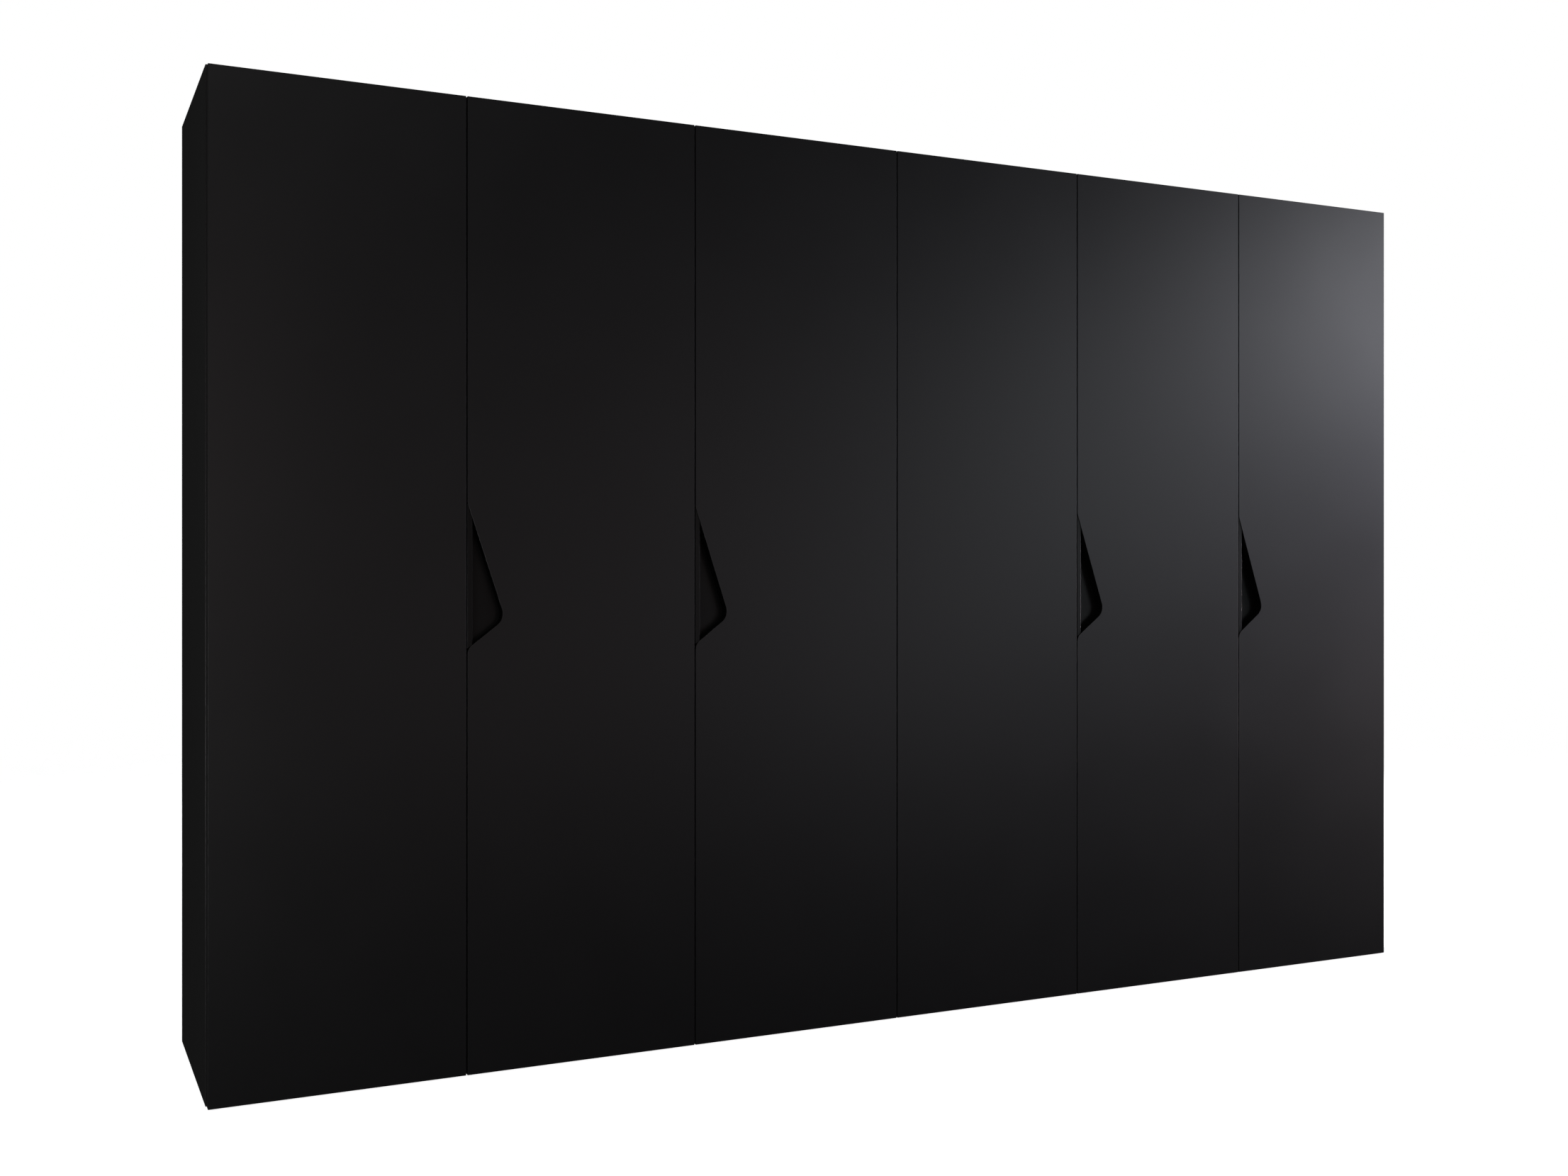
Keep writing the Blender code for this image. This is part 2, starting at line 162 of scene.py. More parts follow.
def inset(outline, distance):
    """An anticlockwise outline moved inwards: each point slides along the sum n of its two sides' unit
    normals, by 2 * distance * n / |n|^2, which moves both sides by distance."""
    sides = outline - np.roll(outline, 1, axis=0), np.roll(outline, -1, axis=0) - outline
    normals = [
        np.stack((-side[:, 1], side[:, 0]), axis=1) / np.linalg.norm(side, axis=1)[:, None] for side in sides
    ]
    total = normals[0] + normals[1]
    return outline + 2 * distance * total / (total ** 2).sum(axis=1)[:, None]


def slab(outline, low, high, edge, steps=3):
    """Rings of a slab between two heights. At angle a of its quarter-round edge the outline is inset by
    edge * (1 - sin a), and lies edge * (1 - cos a) in from the face."""
    angle = np.linspace(0, np.pi / 2, steps + 1)
    insets = edge * (1 - np.sin(angle))
    depths = edge * (1 - np.cos(angle))
    stack = [(move, low + depth) for move, depth in zip(insets, depths)]
    stack += [(move, high - depth) for move, depth in zip(insets[::-1], depths[::-1])]
    rings = [np.column_stack((inset(outline, move), np.full(len(outline), height))) for move, height in stack]
    return np.array(rings)


def lay(rings, order):
    """The rings with their first, second and third coordinate put on the named axes."""
    placed = np.empty_like(rings)
    placed[..., ["xyz".index(axis) for axis in order]] = rings
    return placed


def skin(rings, looped=False):
    """Points and faces of a closed shell over a stack of closed rings: a quad between neighbours, and the end
    rings filled, or joined to each other where the stack is looped."""
    count, around = rings.shape[:2]
    row = np.arange(count if looped else count - 1)[:, None] * around
    here = np.arange(around)[None]
    there = (here + 1) % around
    above = (row + around) % (count * around)
    quads = np.stack((row + here, row + there, above + there, above + here), axis=-1).reshape(-1, 4).tolist()
    caps = [] if looped else [list(range(around))[::-1], list(range((count - 1) * around, count * around))]
    return rings.reshape(-1, 3), quads + caps


def make_mesh(name, shells, materials, smooth_degrees=35):
    """One mesh from several closed shells, each (points, faces) or (points, faces, material number)."""
    points, faces, numbers = [], [], []
    for shell_points, shell_faces, *number in shells:
        start = sum(len(part) for part in points)
        points.append(shell_points)
        faces += [[start + corner for corner in face] for face in shell_faces]
        numbers += (number or [0]) * len(shell_faces)
    mesh = bpy.data.meshes.new(name)
    mesh.from_pydata(np.concatenate(points).tolist(), [], faces)
    mesh.polygons.foreach_set("material_index", numbers)
    for material in materials:
        mesh.materials.append(material)
    shape = bmesh.new()
    shape.from_mesh(mesh)
    bmesh.ops.remove_doubles(shape, verts=shape.verts, dist=1e-6)
    bmesh.ops.recalc_face_normals(shape, faces=shape.faces)
    shape.to_mesh(mesh)
    shape.free()
    mesh.shade_smooth()
    mesh.set_sharp_from_angle(angle=math.radians(smooth_degrees))
    return mesh


def add_piece(name, shells, materials, body, stands_for=(), smooth_degrees=35):
    """A piece of the wardrobe that rides on one body and may stand for nodes of the frame."""
    mesh = make_mesh(name, shells, materials, smooth_degrees)
    piece = bpy.data.objects.new(name, mesh)
    bpy.context.scene.collection.objects.link(piece)
    if body:
        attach(piece, body)
    if stands_for:
        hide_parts(*stands_for)
    return piece


def turned(profile, sides=24):
    """Rings of a turned shape: each (radius, height) of the profile is carried round the third axis."""
    angle = np.arange(sides) * 2 * np.pi / sides
    radius, height = np.array(profile, float).T
    circle = np.stack((np.cos(angle), np.sin(angle)), axis=1)
    return np.concatenate(
        (radius[:, None, None] * circle[None], np.repeat(height[:, None], sides, axis=1)[..., None]), axis=2
    )


def cut(piece, cutters):
    """Takes each closed shell away from the piece with an exact Boolean, which is applied at once."""
    for number, shell in enumerate(cutters):
        cutter = bpy.data.objects.new("cutter", make_mesh("cutter", [shell], []))
        bpy.context.scene.collection.objects.link(cutter)
        modifier = piece.modifiers.new(f"cut_{number}", "BOOLEAN")
        modifier.solver = "EXACT"
        modifier.object = cutter
        bpy.context.view_layer.update()
        graph = bpy.context.evaluated_depsgraph_get()
        mesh = bpy.data.meshes.new_from_object(piece.evaluated_get(graph))
        piece.modifiers.remove(modifier)
        piece.data = mesh
        bpy.data.objects.remove(cutter)


def flatten_large_faces(mesh, smallest_area=0.0001):
    """Turns smooth shading off on faces over the given area, so that broad panels stay dead flat."""
    area = np.empty(len(mesh.polygons), np.float32)
    mesh.polygons.foreach_get("area", area)
    mesh.polygons.foreach_set("use_smooth", area < smallest_area)


def cutout(edge_x, margin):
    """The grip's sail shape right of a door's left edge, with its slanted sides moved out by margin."""
    x, z, radius = GRIP_POINT
    upper = math.atan2(GRIP_TOP - z, x)
    lower = math.atan2(z - GRIP_BOTTOM[0], x)
    top = GRIP_TOP + margin / math.cos(upper)
    bottom = GRIP_BOTTOM[0] - margin / math.cos(lower)
    reach = (top - bottom) / (math.tan(upper) + math.tan(lower))
    point = (edge_x + reach, bottom + reach * math.tan(lower), radius + margin)
    return fillet([(edge_x, bottom, 0), point, (edge_x, top, 0)])


def matt_edge_paint():
    """Painted shade on a cut-out's routed walls, IOR 1.45: near-black with almost no gloss, dead matt over
    the raised fibre, so that the walls read as the shadow in the recess.
    """
    # Near-black #020202 with a specular level of 0.05: painted shade, darker than the lacquer so the recess
    # walls look shadowed.
    made, tree, shader, place = start_material(
        "matt_edge_paint", "#020202", 0.75, IOR=1.45, Specular_IOR_Level=0.05
    )
    # Fibre ends stand up about 0.2 mm apart. They are drawn 2 mm apart.
    fibre = add_node(tree, "ShaderNodeTexNoise", {"Vector": place, "Scale": 500.0, "Detail": 2.0})
    emboss(tree, shader, fibre.outputs["Fac"], 0.3, 0.0002)
    return made


def paint_cutout_shade(mesh, left_edge):
    """Gives the painted shade, the second material, to the cut-out's walls: the faces that look sideways,
    between its top and its rounded foot, and no further from the door's edge than its point."""
    sizes = np.empty((2, len(mesh.polygons) * 3), np.float32)
    mesh.polygons.foreach_get("normal", sizes[0])
    mesh.polygons.foreach_get("center", sizes[1])
    normal, middle = sizes.reshape(2, -1, 3)
    # These sideways faces in the cut-out get the painted shade.
    walls = (np.abs(normal[:, 1]) < 0.3) & (middle[:, 0] < left_edge + GRIP_POINT[0] + 0.001)
    walls &= (middle[:, 2] > GRIP_BOTTOM[0] - GRIP_BOTTOM[1]) & (middle[:, 2] < GRIP_TOP)
    mesh.polygons.foreach_set("material_index", walls.astype(np.int32))


def add_door(number, lacquer, shade_paint):
    low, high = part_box(f"door_{number}")
    joint = joints[f"door_leaf_{number}"]
    hand = -joint["axis"][2]
    corners = [(low.x, low.z, 0), (high.x, low.z, 0), (high.x, high.z, 0), (low.x, high.z, 0)]
    if hand < 0:
        corners += [
            (low.x, GRIP_TOP, 0),
            (low.x + GRIP_POINT[0], GRIP_POINT[1], GRIP_POINT[2]),
            (low.x, GRIP_BOTTOM[0], GRIP_BOTTOM[1]),
        ]
    outline = fillet(corners)
    panel = skin(lay(slab(outline, low.y, high.y, DOOR_EDGE), "xzy"))
    piece = add_piece(
        f"door_panel_{number}", [panel], [lacquer, shade_paint], f"door_leaf_{number}",
        [f"door_{number}"],
    )
    hinge_edge = low.x if hand > 0 else high.x
    cup_x = hinge_edge + hand * CUP_FROM_EDGE
    cutters = []
    for height in HINGE_HEIGHTS.values():
        floor = high.y - BORE_DEPTH
        bore = turned([(0, floor), (BORE_RADIUS, floor), (BORE_RADIUS, 1), (0, 1)], 32)
        cutters.append(skin(lay(bore + np.array((cup_x, height, 0)), "xzy")))
    if hand < 0:
        outline = cutout(low.x - CUT_BEYOND, GRIP_FLANGE)
        rebate = slab(outline, low.y + GRIP_FLOOR - GRIP_PLAY, high.y + CUT_BEYOND, 0)
        cutters.append(skin(lay(rebate[[0, -1]], "xzy")))
    cut(piece, cutters)
    flatten_large_faces(piece.data)
    if hand < 0:
        # The cut-out's walls get the near-black painted shade.
        paint_cutout_shade(piece.data, low.x)


lacquer = satin_lacquer()
# Painted shade for the cut-out's walls.
shade_paint = matt_edge_paint()
for number in range(1, 7):
    add_door(number, lacquer, shade_paint)


# Grips. Each is one moulding in black ABS, pushed into the door from behind: a floor at the back of the
# cut-out, and a narrow pull lip along the door's edge, carried on a web, for the fingertips to hook.

GRIP_EDGE = 0.0003
GRIP_BROAD = 0.00001


def moulded_abs():
    """Injection-moulded ABS, IOR 1.54. The fine even grain of a spark-eroded tool traps part of the gloss."""
    made, tree, shader, place = start_material(
        "moulded_black_abs", "#060606", 0.33, IOR=1.54, Specular_IOR_Level=0.25
    )
    # The real grain is about 0.1 mm. This one is 1.5 mm, so that it shows in a close view.
    grain = add_node(tree, "ShaderNodeTexNoise", {"Vector": place, "Scale": 700.0, "Detail": 2.0})
    emboss(tree, shader, grain.outputs["Fac"], 0.25, 0.0001)
    return made


def add_grip(number, plastic):
    """The grip as the frame's own solid, with every edge rounded by a bevel."""
    node = frame["nodes"][f"grip_{number}"]
    shape = bmesh.new()
    shape.from_mesh(node.data)
    bmesh.ops.remove_doubles(shape, verts=shape.verts, dist=1e-5)
    flat, corner = math.radians(1), math.radians(30)
    bmesh.ops.dissolve_limit(
        shape, angle_limit=flat, use_dissolve_boundaries=False, verts=shape.verts, edges=shape.edges
    )
    sharp = [edge for edge in shape.edges if edge.is_manifold and edge.calc_face_angle() > corner]
    bmesh.ops.bevel(
        shape, geom=sharp, offset=GRIP_EDGE, offset_type="OFFSET", segments=2, profile=0.5, affect="EDGES",
        clamp_overlap=True,
    )
    bmesh.ops.recalc_face_normals(shape, faces=shape.faces)
    mesh = bpy.data.meshes.new(f"grip_insert_{number}")
    shape.to_mesh(mesh)
    shape.free()
    mesh.materials.clear()
    mesh.materials.append(plastic)
    mesh.shade_smooth()
    mesh.set_sharp_from_angle(angle=math.radians(35))
    flatten_large_faces(mesh, GRIP_BROAD)
    piece = bpy.data.objects.new(f"grip_insert_{number}", mesh)
    bpy.context.scene.collection.objects.link(piece)
    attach(piece, f"door_leaf_{number}")
    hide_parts(f"grip_{number}")


abs_black = moulded_abs()
for number in (2, 3, 5, 6):
    add_grip(number, abs_black)


# Boards. Sides, tops, bottoms, partitions, plinths and shelves are 18 mm chipboard with a melamine face.
# The front edge of each but the plinths is closed with a 1 mm ABS strip, glued on and trimmed round, so a
# fine joint line shows between the strip and the faces.

BAND = 0.001
BAND_JOINT = 0.0001
BOARD_EDGE = 0.0003
CENTRE_OVERLAP = 0.00001


def pearl_melamine(name, colour, roughness):
    """Melamine-faced board, IOR 1.55, pressed under an embossed plate that leaves a shallow pearl texture."""
    made, tree, shader, place = start_material(name, colour, roughness, IOR=1.55)
    vary_roughness(made, place, 9.0, roughness - 0.03, roughness + 0.03)
    # The pearl's cells are about 0.8 mm. These are 3 mm, so that they show.
    pearl = add_node(tree, "ShaderNodeTexVoronoi", {"Vector": place, "Scale": 330.0})
    emboss(tree, shader, pearl.outputs["Distance"], 0.12, 0.0002)
    return made


def two_tone(made, pattern, dark, light):
    """Base colour that runs from dark to light as a pattern, the sum of two noises, goes from 0.7 to 1.3."""
    tree = made.node_tree
    share = add_node(tree, "ShaderNodeMapRange", {"Value": pattern, "From Min": 0.7, "From Max": 1.3})
    tones = {"Factor": share.outputs["Result"], 6: srgb(dark), 7: srgb(light)}
    mix = add_node(tree, "ShaderNodeMix", tones, data_type="RGBA")
    tree.links.new(mix.outputs[2], tree.nodes["Principled BSDF"].inputs["Base Color"])


def threads(tree, place, along, across, pitch):
    """A weave's threads in one direction: a noise stretched along them, so fine across that threads lie pitch
    apart, and slow enough along them that each runs about 30 pitches before it thins out."""
    stretch = [1.0 / pitch] * 3
    stretch["XYZ".index(along)] = 1.0 / (pitch * 30)
    stretch["XYZ".index(across)] = 1.0 / pitch
    place = add_node(tree, "ShaderNodeMapping", {"Vector": place, "Scale": stretch}).outputs["Vector"]
    return add_node(tree, "ShaderNodeTexNoise", {"Vector": place, "Scale": 1.0, "Detail": 2.0}).outputs["Fac"]


def linen_melamine(name, dark, light, along, across):
    """Melamine printed with a linen weave, IOR 1.55: light and dark threads cross, lightly pressed in."""
    made, tree, shader, place = start_material(name, light, 0.55, IOR=1.55)
    # The print's threads are about 0.7 mm apart. These are 2 mm apart, so that they show.
    warp = threads(tree, place, along, across, 0.002)
    weft = threads(tree, place, across, along, 0.002)
    weave = add_node(tree, "ShaderNodeMath", {0: warp, 1: weft}, operation="ADD").outputs["Value"]
    two_tone(made, weave, dark, light)
    vary_roughness(made, place, 12.0, 0.50, 0.58)
    emboss(tree, shader, weave, 0.15, 0.0002)
    return made


def edge_strip(name, colour):
    """Extruded ABS edging, IOR 1.54: smoother than the board and a little glossier."""
    made, tree, shader, place = start_material(name, colour, 0.36, IOR=1.54)
    # Extrusion leaves a faint ripple under 1 mm long. It is drawn 4 mm long, so that it shows.
    lines = add_node(tree, "ShaderNodeTexNoise", {"Vector": place, "Scale": 250.0, "Detail": 1.0})
    emboss(tree, shader, lines.outputs["Fac"], 0.06, 0.0001)
    return made


def rectangle(low, high, radius, steps=2):
    """An anticlockwise rectangle between two corners, all four rounded to the same radius."""
    corners = ((low[0], low[1]), (high[0], low[1]), (high[0], high[1]), (low[0], high[1]))
    return fillet([(*corner, radius) for corner in corners], steps)


def block(low, high, thin_axis, edge):
    """A box between two corners with eased edges, as a slab whose thickness lies on thin_axis."""
    order = [axis for axis in "xyz" if axis != thin_axis]
    first, second, third = ("xyz".index(axis) for axis in (*order, thin_axis))
    outline = rectangle((low[first], low[second]), (high[first], high[second]), edge)
    return skin(lay(slab(outline, low[third], high[third], edge, 2), (*order, thin_axis)))


def add_board(node, thin_axis, face, strip):
    """A board with its edging strip along the front, at its lowest y."""
    low, high = (np.array(corner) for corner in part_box(node))
    # The connecting screws press the two centre sides together, so no light passes between them.
    if node == "centre_side_left":
        high[0] = CENTRE_OVERLAP
    if node == "centre_side_right":
        low[0] = -CENTRE_OVERLAP
    core_low = low.copy()
    core_low[1] += BAND + BAND_JOINT
    band_high = high.copy()
    band_high[1] = low[1] + BAND
    core = block(core_low, high, thin_axis, BOARD_EDGE)
    band = block(low, band_high, thin_axis, BOARD_EDGE)
    piece = add_piece(f"board_{node}", [(*core, 0), (*band, 1)], [face, strip], "carcass", [node])
    flatten_large_faces(piece.data)


black_board = pearl_melamine("black_melamine_board", "#131313", 0.45)
black_strip = edge_strip("black_abs_edging", "#121212")
linen = ("#7b7974", "#a19e97")
upright_board = linen_melamine("linen_melamine_upright", *linen, "Z", "Y")
flat_board = linen_melamine("linen_melamine_flat", *linen, "X", "Y")

for node in ("side_left", "side_right", "centre_side_left", "centre_side_right"):
    add_board(node, "x", black_board, black_strip)
for label in ("left", "right"):
    add_board(f"top_panel_{label}", "z", black_board, black_strip)
    add_board(f"bottom_panel_{label}", "z", flat_board, black_strip)
    add_board(f"partition_{label}", "x", upright_board, black_strip)
    add_board(f"hat_shelf_{label}", "z", flat_board, black_strip)
    for number in range(1, 5):
        add_board(f"shelf_{label}_{number}", "z", flat_board, black_strip)
    low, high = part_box(f"plinth_{label}")
    plinth = block(low, high, "y", BOARD_EDGE)
    node = f"plinth_{label}"
    add_piece(f"board_{node}", [plinth], [black_board], "carcass", [node])


# Back panels. Each carcass is closed by one sheet of 4 mm hardboard, printed as linen on the inside, raw
# brown outside, and held by ring-shank nails about 120 mm apart into the boards that it covers.

NAIL_PITCH = 0.120
NAIL_RADIUS = 0.0032
NAIL_FROM_EDGE = 0.008
NAIL_STEM = 0.001
NAIL_DOME = 0.0008
SHEET_GAP = 0.00005
PRINT_EDGE = 0.0002
RAW_EDGE = 0.0004


def hardboard():
    """Raw hardboard, IOR 1.5: pressed wood fibre, brown with paler and darker flecks and a dull face."""
    made, tree, shader, place = start_material("raw_hardboard", "#7a6048", 0.80, IOR=1.5)
    # Fibre bundles are about 1 mm long. They are drawn 3 mm long, in clouds of 40 mm.
    strands = {"Vector": place, "Scale": 330.0, "Detail": 4.0, "Roughness": 0.7}
    fibre = add_node(tree, "ShaderNodeTexNoise", strands)
    cloud = add_node(tree, "ShaderNodeTexNoise", {"Vector": place, "Scale": 25.0, "Detail": 3.0})
    patterns = {0: fibre.outputs["Fac"], 1: cloud.outputs["Fac"]}
    both = add_node(tree, "ShaderNodeMath", patterns, operation="ADD")
    two_tone(made, both.outputs["Value"], "#5f4935", "#8d7156")
    emboss(tree, shader, fibre.outputs["Fac"], 0.3, 0.0003)
    return made


def plated_steel(name, colour, roughness, grain_scale):
    """Plated steel, a metal with the default IOR. Tumbling before plating leaves soft irregular grain."""
    # The real grain is finer than 0.1 mm. It is drawn 1 to 3 mm long, so that it shows.
    made, tree, shader, place = start_material(name, colour, roughness, Metallic=1.0)
    grain = add_node(tree, "ShaderNodeTexNoise", {"Vector": place, "Scale": grain_scale, "Detail": 3.0})
    rough = add_node(
        tree,
        "ShaderNodeMapRange",
        {"Value": grain.outputs["Fac"], "To Min": roughness * 0.9, "To Max": roughness * 1.12},
    )
    tree.links.new(rough.outputs["Result"], shader.inputs["Roughness"])
    return made


def spread(first, last, pitch):
    """Evenly spaced places from first to last, as near to the pitch as a whole number allows."""
    return np.linspace(first, last, max(2, round((last - first) / pitch) + 1))


def add_back(label, inside, outside, steel):
    node = f"back_panel_{label}"
    low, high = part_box(node)
    middle = (low.y + high.y) / 2
    front = block((low.x, low.y, low.z), (high.x, middle - SHEET_GAP, high.z), "y", PRINT_EDGE)
    rear = block((low.x, middle, low.z), (high.x, high.y, high.z), "y", RAW_EDGE)
    sheet = add_piece(
        f"sheet_{node}", [(*front, 0), (*rear, 1)], [inside, outside], "carcass", [node]
    )
    flatten_large_faces(sheet.data)
    partition_low, partition_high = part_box(f"partition_{label}")
    columns = (low.x + NAIL_FROM_EDGE, (partition_low.x + partition_high.x) / 2, high.x - NAIL_FROM_EDGE)
    bottom_low, bottom_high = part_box(f"bottom_panel_{label}")
    rows = ((bottom_low.z + bottom_high.z) / 2, high.z - NAIL_FROM_EDGE)
    places = [(x, z) for x in columns for z in spread(rows[0], rows[1], NAIL_PITCH)]
    places += [(x, z) for z in rows for x in spread(columns[0], columns[2], NAIL_PITCH)[1:-1]]
    profile = [
        (0, -NAIL_STEM), (NAIL_RADIUS, -NAIL_STEM), (NAIL_RADIUS, 0.25 * NAIL_DOME),
        (0.7 * NAIL_RADIUS, 0.75 * NAIL_DOME), (0, NAIL_DOME),
    ]
    head = turned(profile, 10)
    heads = [skin(lay(head + np.array((x, z, high.y)), "xzy")) for x, z in places]
    add_piece(f"back_nails_{label}", heads, [steel], "carcass")


printed_board = linen_melamine("linen_printed_hardboard", *linen, "Z", "X")
raw_board = hardboard()
zinc_steel = plated_steel("zinc_plated_steel", "#b9bcc0", 0.38, 900.0)
for label in ("left", "right"):
    add_back(label, printed_board, raw_board, zinc_steel)


# Hinges. Each door hangs on four concealed hinges of nickel-plated pressed steel: a cup with a winged
# flange screwed to the door, an arm clipped to a cross-shaped plate on the upright, and two links
# between them. The arms of doors 2 and 5 are cranked, because two doors share their partition's edge.

CUP_RADIUS = 0.0170
CUP_INNER = 0.0150
CUP_DEPTH = 0.0115
CUP_FLOOR = 0.0015
CUP_STANDS_OFF = 0.0002
FLANGE = (0.020, 0.061, 0.0055)
FLANGE_THICK = 0.0012
FLANGE_START = 0.0155
FLANGE_SCREW = 0.0242
PRESSED_EDGE = 0.0004
DOOR_SCREW = (0.0040, 0.0009)
PLATE_SCREW = (0.0038, 0.0011)
ARM_SCREW = (0.0032, 0.0010)
# How far off its seat a fixing stands, so that no two faces lie in one plane.
SEAT = 0.0001
# Start and end from the upright's front, half width, corner radius and height over the upright.
PLATE_BAR = (0.022, 0.066, 0.0095, 0.002, 0.0034)
PLATE_WINGS = (0.0305, 0.0435, 0.0235, 0.004, 0.0026)
PLATE_FROM_FRONT = 0.037
SCREW_APART = 0.032
# From the upright's front, and above the arm's middle.
ARM_SCREW_PLACES = ((0.020, 0.0058), (0.058, 0.0068))
ARM_PLAY = 0.0003
ARM_RISE = 0.0100
ARM_TIP = 0.0238
ARM_END = 0.036
LINK_END = 0.0205
LINK_IN_ARM = 0.002
LINK_LEAN = 0.0015
LINK_STEPS = 15
INNER_LINK = (-0.0022, 0.0008, 0.0052)
OUTER_LINK = (0.0024, 0.0009, 0.0042)


def screw_head(radius, height, sides=32, rows=9):
    """Rings of a cross-head screw. The head is a shallow dome, height * (1 - (r / radius)^2 / 2). A cross is
    sunk into its middle to nine tenths of the height, and shelves up to its rim."""
    share = np.concatenate(([0.0], np.linspace(0.08, 1.0, rows)))[::-1]
    angle = np.arange(sides) * 2 * np.pi / sides
    x = share[:, None] * np.cos(angle)
    y = share[:, None] * np.sin(angle)
    arm = np.minimum(np.abs(x), np.abs(y))
    inside = np.clip((0.62 - share[:, None]) / 0.15, 0, 1) * np.clip((0.17 - arm) / 0.06, 0, 1)
    lift = height * (1 - share[:, None] ** 2 / 2) - inside * height * 0.9
    top = np.stack((x * radius, y * radius, lift), axis=-1)
    foot = top[:1].copy()
    foot[..., 2] = -height
    return np.concatenate((foot, top))


def place_hinge(rings, joint, height, order="xzy"):
    """Moves rings from the hinge's own frame to the wardrobe's. In its own frame x runs from the hinge axis
    into the door's width, y to the rear and z up from the hinge's height."""
    hand = -joint["axis"][2]
    placed = lay(rings, order)
    placed[..., 0] = joint["pos_m"][0] + hand * placed[..., 0]
    placed[..., 1] += joint["pos_m"][1]
    placed[..., 2] += height
    return skin(placed)


def cup_shells(joint, height, door_high_y, cup_x):
    """The cup is turned. Its flange is two rounded wings on the door's rear face, each with a screw."""
    rear = door_high_y - joint["pos_m"][1]
    face = rear + CUP_STANDS_OFF
    top = face + FLANGE_THICK
    under = rear - CUP_DEPTH
    floor = under + CUP_FLOOR
    bowl = [
        (0, floor), (CUP_INNER - 0.003, floor), (CUP_INNER - 0.001, floor + 0.001),
        (CUP_INNER, floor + 0.003), (CUP_INNER, top - 0.0004), (CUP_INNER + 0.0004, top + 0.0002),
        (CUP_RADIUS - 0.0003, top + 0.0002), (CUP_RADIUS, top - 0.0002), (CUP_RADIUS, under + 0.001),
        (CUP_RADIUS - 0.001, under), (0, under),
    ]
    middle = np.array((cup_x, 0, 0))
    shells = [place_hinge(turned(bowl, 40) + middle, joint, height)]
    half_x, half_z, radius = FLANGE[0] / 2, FLANGE[1] / 2, FLANGE[2]
    for side in (-1, 1):
        corners = [
            (-half_x, FLANGE_START, 0.001), (half_x, FLANGE_START, 0.001),
            (half_x, half_z, radius), (-half_x, half_z, radius),
        ]
        wing = fillet(corners, 6)
        if side < 0:
            wing = wing[::-1] * (1, -1)
        shells.append(place_hinge(slab(wing, face, top, PRESSED_EDGE, 2) + middle, joint, height))
        head = screw_head(*DOOR_SCREW) + (cup_x, side * FLANGE_SCREW, top + SEAT)
        shells.append(place_hinge(head, joint, height))
    return shells


def arm_shells(joint, height, side_face, front):
    """The arm is a rounded bar carried from the plate to the cup's mouth: at each place (x, y) of its path a
    rounded square is scaled to half widths a and b. The plate is a cross with two screws."""
    root = side_face + ARM_RISE
    bend = ARM_TIP - 0.0003
    path = [
        (root, front + 0.073, 0.0045, 0.0060), (root, front + 0.071, 0.0062, 0.0070),
        (root + 0.0005, front + 0.050, 0.0065, 0.0072), (root + 0.0005, front + 0.028, 0.0062, 0.0072),
        (root * 0.75 + bend * 0.25, front + 0.018, 0.0055, 0.0070),
        (root * 0.3 + bend * 0.7, front + 0.010, 0.0048, 0.0066),
        (ARM_TIP, front + 0.004, 0.0042, 0.0062), (ARM_TIP, ARM_END - 0.004, 0.0034, 0.0058),
    ]
    unit = rectangle((-1, -1), (1, 1), 0.35, 4)
    rings = [
        np.column_stack((x + unit[:, 0] * a, unit[:, 1] * b, np.full(len(unit), y))) for x, y, a, b in path
    ]
    shells = [place_hinge(np.array(rings), joint, height)]
    for start, end, half_wide, radius, lift in (PLATE_BAR, PLATE_WINGS):
        outline = rectangle((front + start, -half_wide), (front + end, half_wide), radius)
        plate = slab(outline, side_face + ARM_PLAY, side_face + lift, PRESSED_EDGE, 2)
        shells.append(place_hinge(plate, joint, height, "yzx"))
    for side in (-1, 1):
        place = (front + PLATE_FROM_FRONT, side * SCREW_APART / 2, side_face + PLATE_WINGS[-1] + SEAT)
        shells.append(place_hinge(screw_head(*PLATE_SCREW) + place, joint, height, "yzx"))
    for along, lift in ARM_SCREW_PLACES:
        head = screw_head(*ARM_SCREW) + (front + along, 0, root + lift)
        shells.append(place_hinge(head, joint, height, "yzx"))
    return shells


def link_rings(offset, half_thick, half_wide):
    """Rings of one link. A rounded strip is carried along a straight path that leans towards the hinge axis,
    in LINK_STEPS steps."""
    unit = rectangle((-1, -1), (1, 1), 0.3, 3)
    share = np.linspace(0, 1, LINK_STEPS)[:, None]
    x = ARM_TIP + offset - share * LINK_LEAN
    y = (ARM_END - LINK_IN_ARM) * (1 - share) + LINK_END * share
    flat = 0 * (x + unit[:, 0])
    return np.stack((x + unit[:, 0] * half_thick, flat + unit[:, 1] * half_wide, flat + y), axis=-1)


